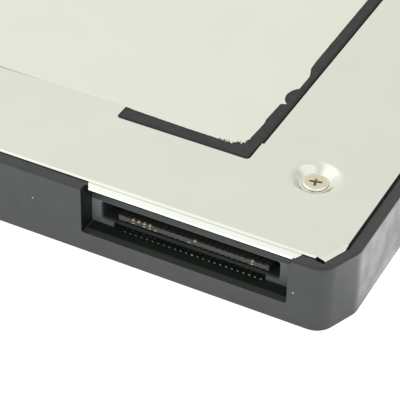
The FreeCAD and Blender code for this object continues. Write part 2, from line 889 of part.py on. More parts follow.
def make_pads_and_springs():
    top = flash_board_top + ball_gap + flash_height
    pads = [box(x - pad_half_width, x + pad_half_width, y - pad_half_length, y + pad_half_length,
                top, cover_under) for x in stacked_columns for y in stacked_rows]
    save("flash_pressure_pads", pads)
    t = spring_sheet
    springs = []
    for side in (-1, 1):
        inner = side * spring_inner_x
        outer = side * spring_outer_x
        web = side * (spring_outer_x - t)
        profile = [(inner, main_board_top), (outer, main_board_top), (outer, cover_under),
                   (inner, cover_under), (inner, cover_under - t), (web, cover_under - t),
                   (web, main_board_top + t), (inner, main_board_top + t)]
        springs.append(front_prism(profile, spring_y - spring_half_width, spring_y + spring_half_width))
    save("earth_springs", springs)


# ---------------------------------------------------------------- host connector

contact_xs = [first_contact_x + contact_pitch * i for i in range(contact_count)]
tongue_web_top = tongue_top - tongue_slot_depth
tongue_web_under = tongue_under + tongue_slot_depth
foot_top = main_board_top + contact_thickness


def bent_strip(points, x):
    """A flat contact strip: its side profile of (y, z) points, one strip wide."""
    return side_prism(points, x - contact_width / 2, x + contact_width / 2)


def upper_contact(x):
    t = contact_thickness
    top = tongue_web_top + t
    leg = housing_back + t
    return bent_strip([(tongue_front, tongue_web_top), (leg, tongue_web_top), (leg, main_board_top),
                       (upper_heel, main_board_top), (upper_heel, foot_top), (leg + t, foot_top),
                       (leg + t, top), (tongue_front, top)], x)


def lower_contact(x):
    t = contact_thickness
    low = tongue_web_under - t
    return bent_strip([(tongue_front, low), (lower_turn, low), (lower_turn, foot_top),
                       (lower_tip, foot_top), (lower_tip, main_board_top),
                       (lower_turn + t, main_board_top), (lower_turn + t, tongue_web_under),
                       (tongue_front, tongue_web_under)], x)


def tail_solder(x):
    """The solder in front of one lower contact's foot, rounded towards the front."""
    half = tail_solder_width / 2
    bead = box(x - half, x + half, lower_tip - tail_solder_length, lower_tip,
               main_board_top, main_board_top + tail_solder_height)
    top_edges = [e for e in edges_at(bead, main_board_top + tail_solder_height)
                 if e.CenterOfMass.y < lower_tip - 0.01]
    return bead.makeFillet(tail_solder_round, top_edges)


def make_tongue():
    """The tongue inside the socket, with a slot above and below for each contact."""
    tongue = box(tongue_left, tongue_right, tongue_front, socket_back + 0.1, tongue_under, tongue_top)
    half = tongue_slot_width / 2
    slots = []
    for x in contact_xs:
        for z0, z1 in ((tongue_web_top, tongue_top + past), (tongue_under - past, tongue_web_under)):
            slots.append(box(x - half, x + half, tongue_front - past, socket_back, z0, z1))
    return tongue.cut(Part.makeCompound(slots))


def make_connector():
    body = box(housing_left, housing_right, housing_front, housing_back, main_board_top, housing_top)
    socket = box(socket_left, socket_right, housing_front - past, socket_back,
                 socket_floor, socket_ceiling)
    depth_edges = [e for e in socket.Edges if abs(e.tangentAt(0).y) > 0.9]
    body = body.cut(socket.makeFillet(socket_radius, depth_edges))
    body = body.cut(box(lip_left, lip_right, housing_front - past, housing_front + lip_setback,
                        main_board_top, socket_floor))
    body = body.cut(box(lip_left, lip_right, housing_front - past, foot_space_back,
                        main_board_top, foot_top + foot_clearance))
    pegs = [cylinder(x, peg_y, peg_foot, main_board_top, peg_radius) for x in peg_xs]
    body = fused([body, make_tongue()] + pegs)
    upper = [upper_contact(x) for x in contact_xs]
    lower = [lower_contact(x) for x in contact_xs]
    body = body.cut(Part.makeCompound(upper)).cut(Part.makeCompound(lower))
    save("connector_housing", body.Solids)
    save("connector_upper_contacts", upper)
    save("connector_lower_contacts", lower)
    save("connector_tail_solder", [tail_solder(x) for x in contact_xs])


def make_gasket():
    """A foam strip between the connector and the top cover."""
    gasket = box(housing_left + gasket_inset, housing_right - gasket_inset, gasket_front, gasket_back,
                 housing_top, cover_under)
    save("connector_gasket", [gasket])


def make_hold_downs():
    """An L of sheet metal at each end of the housing, soldered to the board."""
    tabs = []
    foot = main_board_top + hold_down_sheet
    for inner, side in ((housing_left, -1), (housing_right, 1)):
        web = inner + side * hold_down_sheet
        outer = inner + side * hold_down_reach
        profile = [(inner, main_board_top), (outer, main_board_top), (outer, foot), (web, foot),
                   (web, hold_down_top), (inner, hold_down_top)]
        tabs.append(front_prism(profile, hold_down_front, hold_down_back))
    save("connector_hold_down", tabs)


make_frame()
make_top_cover()
make_foam_strip()
make_foil()
make_bottom_cover()
make_insulator()
make_cover_screws()
make_inserts()
make_bottom_screws()
make_main_board()
make_flash_board()
make_board_hardware()
make_board_to_board()
make_flash_packages()
make_controller()
make_cache_and_clock()
make_regulators()
make_passives()
make_pads_and_springs()
make_connector()
make_gasket()
make_hold_downs()
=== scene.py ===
import json
import math
import random
import bmesh
import bpy
from mathutils import Euler, Matrix, Vector


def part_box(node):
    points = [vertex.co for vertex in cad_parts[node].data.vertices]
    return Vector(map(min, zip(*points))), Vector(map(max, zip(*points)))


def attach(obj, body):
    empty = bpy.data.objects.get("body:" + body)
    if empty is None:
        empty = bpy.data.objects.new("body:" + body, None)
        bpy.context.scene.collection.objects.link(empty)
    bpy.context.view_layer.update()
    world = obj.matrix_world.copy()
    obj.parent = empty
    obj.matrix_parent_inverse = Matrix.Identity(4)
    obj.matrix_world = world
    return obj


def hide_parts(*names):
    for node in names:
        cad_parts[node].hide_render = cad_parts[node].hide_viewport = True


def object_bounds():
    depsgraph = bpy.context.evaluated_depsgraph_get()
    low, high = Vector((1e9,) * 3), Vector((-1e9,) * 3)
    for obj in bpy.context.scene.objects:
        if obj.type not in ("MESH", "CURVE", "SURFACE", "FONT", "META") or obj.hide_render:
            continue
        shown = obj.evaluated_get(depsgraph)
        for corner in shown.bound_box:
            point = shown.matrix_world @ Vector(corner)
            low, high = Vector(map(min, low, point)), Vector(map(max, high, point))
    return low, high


# A solid state drive on a light table, in metres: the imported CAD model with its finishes,
# a torn foil label made here, soft studio light and the camera.

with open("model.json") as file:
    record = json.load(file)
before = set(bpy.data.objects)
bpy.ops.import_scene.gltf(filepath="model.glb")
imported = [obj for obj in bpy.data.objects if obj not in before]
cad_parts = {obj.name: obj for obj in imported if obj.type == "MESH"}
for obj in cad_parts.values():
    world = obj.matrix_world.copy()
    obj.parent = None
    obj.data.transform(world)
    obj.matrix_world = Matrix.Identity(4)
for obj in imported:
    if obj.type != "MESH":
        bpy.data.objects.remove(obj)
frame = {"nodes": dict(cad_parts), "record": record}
cad_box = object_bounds()

MM = 0.001
BODY = "root"

# Camera: where it stands (mm), where it looks and how wide it sees (degrees).
CAMERA_AT = (89.206, -193.946, 141.400)
CAMERA_AZIMUTH = 26.4957
CAMERA_ELEVATION = 38.5153
CAMERA_ROLL = 1.3142
CAMERA_VIEW = 12.2267
CAMERA_NEAR = 0.01              # nearest thing that it sees (m)

# Light, as radiance. Where it changes is given by the direction it comes from, as a unit
# vector: x to the right, y to the back and z up.
ROOM = 0.93                     # at ROOM_MIDDLE, an x of the direction
ROOM_MIDDLE = -0.349
ROOM_TO_THE_LEFT = 0.20         # how much brighter the room gets to the left
ROOM_BELOW = 0.9
HORIZON_FADE = (-0.05, 0.05)    # z, from the room below to the room above
SOFT_BOX = 1.28                 # each of the two soft boxes overhead
SOFT_BOX_TINT = (0.98, 1.0, 1.04)
SOFT_BOX_BACK = 0.62            # how far back they reach, as y / z
SOFT_BOX_BACK_FADE = (-0.10, 0.12)
SOFT_BOX_FOOT = (0.40, 0.54)    # z, over which they fade in
SOFT_BOX_GAP = (0.15, 0.27)     # half the gap between them, in x, where they fade in
SOFT_BOX_GAP_MIDDLE = -0.02

# The table. It glows, by TABLE_GLOW in front and by TABLE_GLOW_BEHIND farther back.
TABLE_SIZE = 3.0                # in metres
TABLE_DROP = 0.05               # how far it lies below the drive (mm)
TABLE_GLOW = 0.85
TABLE_GLOW_BEHIND = 1.85
TABLE_GLOW_EDGE = (-46.0, -38.0)            # y, from the one to the other (mm)
TABLE_GLOW_UNDER = 0.75                     # inside the drive's outline, out of sight
UNDER_RIMS = ((0.4, 5.0), (1.8, 3.2), (3.2, 1.8), (5.0, 0.4))   # steps in from side and front (mm)
UNDER_REAR_RIM = 1.0            # step in from the rear

# Screws, the painted highlight and painted shade on and around them, and a dark grain by one (mm).
HEAD_RADIUS = 1.52
HEAD_HIGHLIGHT = 0.26                 # width of the painted highlight on the rim of a head
BOARD_HEAD_RADIUS = 1.45
SCREW_HOLLOW = 0.09             # the driver recess has painted shade from this depth
RECESS_REACH = (1.05, 0.95)     # and only this near the middle
UNDER_HEAD = (0.23, 0.28)       # depth below the head's top where painted shade starts
DIMPLE_SHADE = (1.48, 1.64)     # radius where the painted shade round a cover screw fades out
PHOTO_SCREW = 2                 # the front right one has a dark grain beside its head
SCREW_GRAIN = (-1.2, -1.5)
SCREW_GRAIN_SIZE = 0.11

# The slot's outer edges (mm), and how far from them the strip is in shade.
SLOT_FRONT = -36.14
SLOT_RIGHT = 17.02
SLOT_SHADE = (0.22, 0.85)
SLOT_SHADE_STRENGTH = 0.85

# Dust on the frame (mm): three grains on the front, and sparse specks all over.
DUST = ((29.2, -50.0, 4.7), (-4.4, -50.0, 5.4), (-21.0, -50.0, 3.1))
DUST_SIZE = 0.13
DUST_SPECKS = (2.2, 0.10, 0.06)     # spacing, radius, and share of the places that hold one

# The recess of the connector in the frame: painted shade on its left wall and painted light on its
# floor (mm).
RECESS_WALL_SHADE = ((2.0, -49.9, 2.80), (2.2, -46.0, 9.0))
RECESS_FLOOR_LIGHT = ((2.2, -49.95, 2.6), (28.4, -46.0, 2.9))

# Host connector (mm): its row of contacts, and the contacts and joints that get a painted glint.
CONTACTS = 25
FIRST_CONTACT_X = 6.64
CONTACT_PITCH = 0.7328
CONTACT_TIP = 0.40              # length of the tip with a painted highlight, or on the bright contacts a painted glint
BRIGHT_UPPER = (1, 2, 3, 4, 12, 22)
BRIGHT_LOWER = (1, 3, 4, 5, 11, 22)
FOOT_TOP = 3.2                  # the feet of the contacts have painted shade below this height
FOOT_FADE = 0.2
SOLDER_TIP = 0.08               # length of the tip of a tail joint with a painted highlight
SOLDER_DOT = (0.13, 0.07)       # and half its width, where it fades in
# the tail joint with the brightest painted highlight, and its half width
BRIGHT_TAIL = 12
BRIGHT_TAIL_HALF = 0.2
CONNECTOR_MOUTH = -47.43        # y of the housing's face
MOUTH_LIP = 0.15                # behind it the socket has painted shade, full at CONNECTOR_DARK
CONNECTOR_DARK = -46.8
PAINTED_LIGHT_LEFT_END = 5.0                  # length over which the housing has painted light at its left end
SOCKET_CEILING = 6.11           # the bar above it has painted shade
CEILING_FADE = 0.1

# Label foil (mm).
FOIL_SHEET = 0.020              # thickness of the foil itself
FOIL_REST = 0.038               # how far its top lies below the top of the CAD foil
FOIL_STEP = 0.20                # longest stretch of edge left straight
FOIL_BORDER = 3.0               # width of the border that can droop or lift
FOIL_LEFT_BORDER = 0.3
FOIL_FRONT_BORDER = 3.2
FOIL_DROOP = 0.05               # how far the torn edge hangs into the slot
FOIL_DROOP_REACH = 2.0
FOIL_LIFT_FROM = -12.7          # the front edge stands up a little to the left of this
FOIL_LIFT_FULL = -19.0
FOIL_LIFT_REACH = 1.2
BORDER_ROWS = (0.0, 0.04, 0.10, 0.20, 0.35, 0.55, 0.80, 1.0)
ON_SLOT = 1.2                   # the edge is torn this near its right or front side
TORN_FROM = -0.3                # and at the front only to the right of this
TORN_JAG = 0.02
TORN_SEED = 11
CORNER_IN = (2.4, 0.40)         # the ragged corner: how far in from the right and the front
CORNER_JAG = 0.36
CORNER_JAG_REACH = 2.2
CORNER_STEP = 0.11
OUTLINE_SLACK = 0.01            # depth within which a face counts as the top one


# ---------------------------------------------------------------- node helpers

class Nodes:
    """A node tree being built. Its methods take numbers or sockets and return a socket."""

    def __init__(self, tree, place):
        self.nodes = tree.nodes
        self.links = tree.links
        self.place = self.nodes.new("ShaderNodeTexCoord").outputs[place]

    def feed(self, socket, value):
        if isinstance(value, bpy.types.NodeSocket):
            self.links.new(value, socket)
        elif isinstance(value, (tuple, list)) and len(socket.default_value) > len(value):
            socket.default_value = (*value, 1)
        else:
            socket.default_value = value

    def math(self, operation, *values):
        node = self.nodes.new("ShaderNodeMath")
        node.operation = operation
        for socket, value in zip(node.inputs, values):
            self.feed(socket, value)
        return node.outputs[0]

    def parts(self, vector=None):
        """The x, y and z of a vector, or of the place itself."""
        node = self.nodes.new("ShaderNodeSeparateXYZ")
        self.feed(node.inputs[0], vector or self.place)
        return node.outputs

    def spread(self, value, low, high, at_low=0.0, at_high=1.0):
        """Turns low to high into at_low to at_high, eased, and stops at both ends."""
        node = self.nodes.new("ShaderNodeMapRange")
        node.interpolation_type = "SMOOTHSTEP"
        for name, v in (("Value", value), ("From Min", low), ("From Max", high),
                        ("To Min", at_low), ("To Max", at_high)):
            self.feed(node.inputs[name], v)
        return node.outputs[0]

    def blend(self, factor, a, b):
        node = self.nodes.new("ShaderNodeMix")
        node.data_type = "RGBA"
        for name, value in (("Factor_Float", factor), ("A_Color", a), ("B_Color", b)):
            socket = next(s for s in node.inputs if s.identifier == name)
            self.feed(socket, value)
        return next(s for s in node.outputs if s.identifier == "Result_Color")

    def stretched(self, stretch):
        node = self.nodes.new("ShaderNodeMapping")
        self.feed(node.inputs["Vector"], self.place)
        node.inputs["Scale"].default_value = [1 / s for s in stretch]
        return node.outputs[0]

    def noise(self, size, detail=2.0, stretch=(1, 1, 1)):
        """Noise from 0 to 1 whose patches are about size millimetres across."""
        node = self.nodes.new("ShaderNodeTexNoise")
        self.feed(node.inputs["Vector"], self.stretched(stretch))
        node.inputs["Scale"].default_value = 1 / (size * MM)
        node.inputs["Detail"].default_value = detail
        return node.outputs[0]

    def specks(self, spacing, radius, share):
        """1 on sparse round specks. share is how many of the cells hold one."""
        node = self.nodes.new("ShaderNodeTexVoronoi")
        self.feed(node.inputs["Vector"], self.place)
        node.inputs["Scale"].default_value = 1 / (spacing * MM)
        near = self.spread(node.outputs["Distance"], radius / spacing, 0.6 * radius / spacing)
        chosen = self.math("LESS_THAN", self.parts(node.outputs["Color"])[0], share)
        return self.math("MULTIPLY", near, chosen)

    def distance_to(self, x, y):
        """Plan distance in millimetres from an upright line."""
        east, north, _ = self.parts()
        east = self.math("SUBTRACT", east, x * MM)
        north = self.math("SUBTRACT", north, y * MM)
        squares = self.math("ADD", self.math("MULTIPLY", east, east),
                            self.math("MULTIPLY", north, north))
        return self.math("DIVIDE", self.math("SQRT", squares), MM)

    def near(self, point, radius):
        """1 on a small round spot about a point. Both are in millimetres."""
        node = self.nodes.new("ShaderNodeVectorMath")
        node.operation = "DISTANCE"
        self.feed(node.inputs[0], self.place)
        node.inputs[1].default_value = [p * MM for p in point]
        return self.spread(node.outputs["Value"], radius * MM, 0.4 * radius * MM)

    def within(self, low, high):
        """1 inside a box given by two corners in millimetres."""
        inside = 1.0
        for part, start, end in zip(self.parts(), low, high):
            middle = 0.5 * (start + end) * MM
            half = 0.5 * (end - start) * MM
            inside = self.math("MULTIPLY", inside, self.math("COMPARE", part, middle, half))
        return inside

    def largest(self, values):
        total = values[0]
        for value in values[1:]:
            total = self.math("MAXIMUM", total, value)
        return total


class Finish(Nodes):
    """A material with one principled shader."""

    def __init__(self, name, metallic=0.0, roughness=0.5):
        self.material = bpy.data.materials.new(name)
        self.material.use_nodes = True
        super().__init__(self.material.node_tree, "Object")
        self.shader = self.nodes["Principled BSDF"]
        self.set("Metallic", metallic)
        self.set("Roughness", roughness)

    def set(self, name, value):
        self.feed(self.shader.inputs[name], value)

    def bump(self, height, depth, under=None):
        """Relief of the given depth in millimetres."""
        node = self.nodes.new("ShaderNodeBump")
        node.inputs["Distance"].default_value = depth * MM
        self.feed(node.inputs["Height"], height)
        if under:
            self.feed(node.inputs["Normal"], under)
        self.set("Normal", node.outputs[0])
        return node.outputs[0]


# ---------------------------------------------------------------- studio

def make_room():
    """Soft light from all round, with a long soft box overhead on each side."""
    bpy.context.scene.view_settings.view_transform = "Standard"
    world = bpy.data.worlds.new("studio")
    bpy.context.scene.world = world
    world.use_nodes = True
    sky = Nodes(world.node_tree, "Generated")
    x, y, z = sky.parts()

    room = sky.math("MULTIPLY_ADD", x, -ROOM_TO_THE_LEFT, ROOM + ROOM_TO_THE_LEFT * ROOM_MIDDLE)
    lean = sky.math("MULTIPLY_ADD", z, SOFT_BOX_BACK, sky.math("MULTIPLY", y, -1.0))
    aside = sky.math("ABSOLUTE", sky.math("SUBTRACT", x, SOFT_BOX_GAP_MIDDLE))
    in_box = sky.math("MULTIPLY", sky.spread(lean, *SOFT_BOX_BACK_FADE),
                      sky.spread(z, *SOFT_BOX_FOOT))
    in_box = sky.math("MULTIPLY", in_box, sky.spread(aside, *SOFT_BOX_GAP))
    light = sky.math("MULTIPLY_ADD", in_box, SOFT_BOX - ROOM, room)
    above = sky.spread(z, *HORIZON_FADE)
    light = sky.math("ADD", sky.math("MULTIPLY", light, above),
                     sky.math("MULTIPLY", sky.math("SUBTRACT", 1.0, above), ROOM_BELOW))
    background = world.node_tree.nodes["Background"]
    sky.feed(background.inputs["Color"], sky.blend(in_box, (1, 1, 1), SOFT_BOX_TINT))
    sky.feed(background.inputs["Strength"], light)


def make_table():
    """A pale table that glows. It can be seen through from below."""
    bpy.ops.mesh.primitive_plane_add(size=TABLE_SIZE, location=(0, 0, -TABLE_DROP * MM))
    table = bpy.context.object
    table.name = "table"
    paper = Finish("table_paper", roughness=0.9)
    tone = paper.noise(40, detail=3)
    paper.set("Base Color", paper.blend(tone, (0.89, 0.89, 0.89), (0.91, 0.91, 0.91)))
    paper.set("Emission Color", (1, 1, 1))
    start, end = TABLE_GLOW_EDGE
    glow = paper.spread(paper.parts()[1], start * MM, end * MM, TABLE_GLOW, TABLE_GLOW_BEHIND)
    low, high = (corner / MM for corner in cad_box)
    under = []
    for x, y in UNDER_RIMS:
        front_left = low + Vector((x, y, -1))
        back_right = high - Vector((x, UNDER_REAR_RIM, 0))
        under.append(paper.within(front_left, back_right))
    under = paper.largest(under)
    paper.set("Emission Strength", paper.spread(under, 0.0, 1.0, glow, TABLE_GLOW_UNDER))
    through = paper.nodes.new("ShaderNodeMixShader")
    paper.feed(through.inputs[0], paper.nodes.new("ShaderNodeNewGeometry").outputs["Backfacing"])
    paper.feed(through.inputs[1], paper.shader.outputs[0])
    paper.feed(through.inputs[2], paper.nodes.new("ShaderNodeBsdfTransparent").outputs[0])
    paper.feed(paper.nodes["Material Output"].inputs["Surface"], through.outputs[0])
    table.data.materials.append(paper.material)


def make_camera():
    data = bpy.data.cameras.new("camera")
    data.angle = math.radians(CAMERA_VIEW)
    data.clip_start = CAMERA_NEAR
    camera = bpy.data.objects.new("camera", data)
    bpy.context.collection.objects.link(camera)
    tilt = math.pi / 2 - math.radians(CAMERA_ELEVATION)
    look = Euler((tilt, 0, math.radians(CAMERA_AZIMUTH))).to_matrix()
    roll = Matrix.Rotation(math.radians(CAMERA_ROLL), 3, "Z")
    camera.matrix_world = Matrix.Translation(Vector(CAMERA_AT) * MM) @ (look @ roll).to_4x4()
    bpy.context.scene.camera = camera


# ---------------------------------------------------------------- places taken from the frame

def screw_places(node, head_radius):
    """Plan centres of a node's four screws, in millimetres."""
    low, high = (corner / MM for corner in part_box(node))
    return [(x, y) for x in (low.x + head_radius, high.x - head_radius)
            for y in (low.y + head_radius, high.y - head_radius)]


def contact_x(index):
    return FIRST_CONTACT_X + index * CONTACT_PITCH


# ---------------------------------------------------------------- finishes

def moulded_frame():
    """Glass-filled nylon: near black, finely textured, faintly mottled, a little dust; painted
    shade and light in the recess.
    """
    look = Finish("moulded_frame")
    grain = look.noise(0.10, detail=3)
    mottle = look.noise(2.4, detail=5)
    tone = look.blend(look.spread(mottle, 0.3, 0.7),
                      (0.0180, 0.0218, 0.0176), (0.0296, 0.0336, 0.0288))
    # painted shade on the recess's left wall, painted light on its floor
    tone = look.blend(look.within(*RECESS_WALL_SHADE), tone, (0.008, 0.009, 0.008))
    tone = look.blend(look.within(*RECESS_FLOOR_LIGHT), tone, (0.047, 0.049, 0.042))
    grains = [look.specks(*DUST_SPECKS)] + [look.near(p, DUST_SIZE) for p in DUST]
    dust = look.largest(grains)
    look.set("Base Color", look.blend(dust, tone, (0.55, 0.55, 0.52)))
    look.set("Roughness", look.spread(mottle, 0.30, 0.70, 0.32, 0.46))
    look.bump(grain, 0.0022)
    return look


def rolled_sheet(name, pale, dark, roughness, pore_size, grain_depth):
    """Satin metal sheet: faint rolling grain, soft cloudiness and fine pores."""
    look = Finish(name, metallic=1.0)
    cloud = look.noise(7.0, detail=4)
    grain = look.noise(0.6 * pore_size, detail=2, stretch=(1, 9, 1))
    pores = look.noise(pore_size, detail=3)
    look.set("Base Color", look.blend(look.spread(cloud, 0.3, 0.7), pale, dark))
    look.set("Roughness", look.spread(pores, 0.2, 0.8, roughness - 0.03, roughness + 0.04))
    relief = look.bump(grain, 0.5 * grain_depth)
    look.bump(pores, grain_depth, relief)
    return look


def cover_sheet():
    look = rolled_sheet("cover_sheet", (0.775, 0.791, 0.692), (0.757, 0.774, 0.673),
                        0.24, 0.16, 0.0004)
    # Painted shade round each screw head, and a dark grain beside one head.
    shade_rings_and_grain = [look.spread(look.distance_to(x, y), DIMPLE_SHADE[1], DIMPLE_SHADE[0])
             for x, y in screw_places("top_cover_screws", HEAD_RADIUS)]
    x, y = screw_places("top_cover_screws", HEAD_RADIUS)[PHOTO_SCREW]
    grain = look.distance_to(x + SCREW_GRAIN[0], y + SCREW_GRAIN[1])
    shade_rings_and_grain.append(look.spread(grain, SCREW_GRAIN_SIZE, 0.6 * SCREW_GRAIN_SIZE))
    plain_sheet = look.shader.inputs["Base Color"].links[0].from_socket
    look.set("Base Color", look.blend(look.largest(shade_rings_and_grain), plain_sheet, (0.30, 0.29, 0.26)))
    return look


def base_sheet():
    return rolled_sheet("base_sheet", (0.62, 0.63, 0.60), (0.57, 0.58, 0.55), 0.32, 0.16, 0.0006)


def label_foil():
    return rolled_sheet("label_foil", (0.830, 0.838, 0.728), (0.818, 0.826, 0.716),
                        0.24, 0.16, 0.0004)


def black_foam():
    look = Finish("black_foam")
    cells = look.noise(0.16, detail=3)
    patches = look.spread(look.noise(1.3, detail=3), 0.25, 0.75)
    foam = look.blend(patches, (0.024, 0.0225, 0.0195), (0.039, 0.037, 0.033))
    x, y, _ = look.parts()
    dark, clear = SLOT_SHADE
    at_front = look.spread(y, (SLOT_FRONT + clear) * MM, (SLOT_FRONT + dark) * MM)
    at_right = look.spread(x, (SLOT_RIGHT - clear) * MM, (SLOT_RIGHT - dark) * MM)
    shade = look.math("MULTIPLY", look.math("MAXIMUM", at_front, at_right), SLOT_SHADE_STRENGTH)
    look.set("Base Color", look.blend(shade, foam, (0.007, 0.0065, 0.006)))
    look.set("Roughness", look.spread(cells, 0.2, 0.8, 0.70, 0.86))
    look.bump(cells, 0.012)
    return look


def screw_metal(name, node, head_radius):
    """Nickel-plated steel, with a painted highlight on its rim and painted shade in the driver
    recess and under the head.
    """
    look = Finish(name)
    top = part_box(node)[1].z / MM
    scuff = look.noise(0.3, detail=3)
    metal = look.blend(scuff, (0.77, 0.71, 0.50), (0.68, 0.62, 0.43))
    height = look.parts()[2]
    # Painted shade in the driver recess and under the head.
    hollow = look.spread(height, (top - SCREW_HOLLOW) * MM, (top - 2 * SCREW_HOLLOW) * MM)
    middle = look.largest([look.spread(look.distance_to(x, y), *RECESS_REACH)
                           for x, y in screw_places(node, head_radius)])
    below = look.spread(height, (top - UNDER_HEAD[0]) * MM, (top - UNDER_HEAD[1]) * MM)
    painted_shade = look.math("MAXIMUM", look.math("MULTIPLY", hollow, middle), below)
    # Painted highlight on the rim of each head.
    highlight_rim = look.largest([look.spread(look.distance_to(x, y), head_radius, head_radius - HEAD_HIGHLIGHT)
                        for x, y in screw_places(node, head_radius)])
    metal = look.blend(highlight_rim, (0.97, 0.95, 0.88), metal)
    look.set("Base Color", look.blend(painted_shade, metal, (0.27, 0.20, 0.14)))
    look.set("Metallic", look.spread(painted_shade, 0.0, 1.0, 1.0, 0.3))
    look.set("Roughness", look.spread(scuff, 0.2, 0.8, 0.18, 0.30))
    look.bump(scuff, 0.001)
    return look


def nickel_screws():
    return screw_metal("nickel_screws", "top_cover_screws", HEAD_RADIUS)


def board_screw_metal():
    return screw_metal("board_screw_metal", "board_screws", BOARD_HEAD_RADIUS)


def black_screws():
    look = Finish("black_screws", metallic=0.7)
    scuff = look.noise(0.35, detail=3)
    look.set("Base Color", look.blend(look.spread(scuff, 0.45, 0.75),
                                      (0.03, 0.03, 0.032), (0.09, 0.09, 0.09)))
    look.set("Roughness", look.spread(scuff, 0.2, 0.8, 0.28, 0.42))
    look.bump(scuff, 0.0015)
    return look


def brass():
    look = Finish("brass", metallic=1.0)
    tarnish = look.noise(0.8, detail=4)
    look.set("Base Color", look.blend(tarnish, (0.78, 0.58, 0.27), (0.62, 0.44, 0.20)))
    look.set("Roughness", look.spread(tarnish, 0.2, 0.8, 0.24, 0.38))
    look.bump(look.noise(0.12), 0.001)
    return look


def circuit_board():
    """Dark green solder mask, with tracks that barely show through it."""
    look = Finish("circuit_board")
    tracks = look.nodes.new("ShaderNodeTexBrick")
    look.feed(tracks.inputs["Vector"], look.place)
    tracks.inputs["Scale"].default_value = 1 / (1.8 * MM)
    tracks.inputs["Mortar Size"].default_value = 0.06
    tone = look.noise(3.0, detail=3)
    mask = look.blend(tone, (0.0030, 0.0075, 0.0042), (0.0045, 0.0105, 0.0060))
    look.set("Base Color", look.blend(tracks.outputs["Fac"], mask, (0.006, 0.016, 0.009)))
    look.set("Roughness", look.spread(tone, 0.2, 0.8, 0.40, 0.52))
    look.bump(tracks.outputs["Fac"], 0.012)
    return look


def insulator_film():
    look = Finish("insulator_film")
    wave = look.noise(4.0, detail=2)
    look.set("Base Color", look.blend(wave, (0.016, 0.016, 0.017), (0.024, 0.024, 0.026)))
    look.set("Roughness", look.spread(wave, 0.2, 0.8, 0.22, 0.34))
    look.bump(wave, 0.01)
    return look


def connector_plastic():
    """Grey-black polymer with flow marks: painted shade inside the socket and on the bar above it,
    painted light at its left end.
    """
    look = Finish("connector_plastic")
    look.set("Specular IOR Level", 0.25)
    flow = look.noise(0.7, detail=3, stretch=(3, 1, 1))
    depth = look.parts()[1]
    # Painted shade inside the socket, behind its mouth.
    inside = look.spread(depth, (CONNECTOR_MOUTH + MOUTH_LIP) * MM, CONNECTOR_DARK * MM)
    face = look.blend(flow, (0.115, 0.128, 0.128), (0.135, 0.149, 0.149))
    left_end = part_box("connector_housing")[0].x / MM
    # Painted light at the housing's left end.
    left_end_light = look.spread(look.parts()[0], (left_end + PAINTED_LIGHT_LEFT_END) * MM, left_end * MM)
    face = look.blend(left_end_light, face, (0.172, 0.189, 0.189))
    # Painted shade on the bar above the socket.
    top_bar_shade = look.spread(look.parts()[2], SOCKET_CEILING * MM,
                          (SOCKET_CEILING + CEILING_FADE) * MM)
    face = look.blend(top_bar_shade, face, (0.050, 0.056, 0.053))
    look.set("Base Color", look.blend(inside, face, (0.040, 0.044, 0.041)))
    look.set("Roughness", look.spread(flow, 0.2, 0.8, 0.42, 0.54))
    look.bump(flow, 0.003)
    return look


def contact_metal(name, node, bright):
    """Dull, worn gold, with a painted highlight on every tip, a painted glint on the bright ones'
    tips, painted shade on the feet.
    """
    look = Finish(name, metallic=1.0)
    x = look.parts()[0]
    wear = look.noise(0.25, detail=3)
    half = 0.5 * CONTACT_PITCH * MM
    # The bright contacts get a painted glint at the tip.
    shining = [look.math("COMPARE", x, contact_x(i) * MM, half) for i in bright]
    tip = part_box(node)[0].y / MM
    at_tip = look.spread(look.parts()[1], (tip + CONTACT_TIP) * MM, (tip + 0.7 * CONTACT_TIP) * MM)
    painted_glint = look.math("MULTIPLY", look.largest(shining), at_tip)
    dull = look.blend(wear, (0.095, 0.082, 0.062), (0.17, 0.145, 0.105))
    # A painted highlight on the tip of every contact.
    tone = look.blend(at_tip, dull, (0.30, 0.22, 0.15))
    tone = look.blend(painted_glint, tone, (1.0, 0.80, 0.42))
    # Painted shade on the feet.
    foot_shade = look.spread(look.parts()[2], FOOT_TOP * MM, (FOOT_TOP - FOOT_FADE) * MM)
    look.set("Base Color", look.blend(foot_shade, tone, (0.045, 0.042, 0.036)))
    look.set("Metallic", look.spread(painted_glint, 0.0, 1.0, 0.6, 0.2))
    look.set("Roughness", look.spread(wear, 0.2, 0.8, 0.30, 0.45))
    look.bump(wear, 0.002)
    return look


def upper_contact_metal():
    return contact_metal("upper_contact_metal", "connector_upper_contacts", BRIGHT_UPPER)


def lower_contact_metal():
    return contact_metal("lower_contact_metal", "connector_lower_contacts", BRIGHT_LOWER)


def gold_contacts():
    # every other contact gets a painted glint at its tip
    return contact_metal("gold_contacts", "stacking_contacts", range(0, CONTACTS, 2))


def soft_metal(name, pale, dark, roughness, depth):
    """Solder, tin and spring metal: a clouded tone with a slightly rough skin."""
    look = Finish(name, metallic=1.0)
    cloud = look.noise(0.4, detail=4)
    look.set("Base Color", look.blend(cloud, pale, dark))
    look.set("Roughness", look.spread(cloud, 0.2, 0.8, roughness - 0.05, roughness + 0.08))
    look.bump(cloud, depth)
    return look


def solder():
    return soft_metal("solder", (0.50, 0.50, 0.49), (0.36, 0.36, 0.35), 0.42, 0.006)


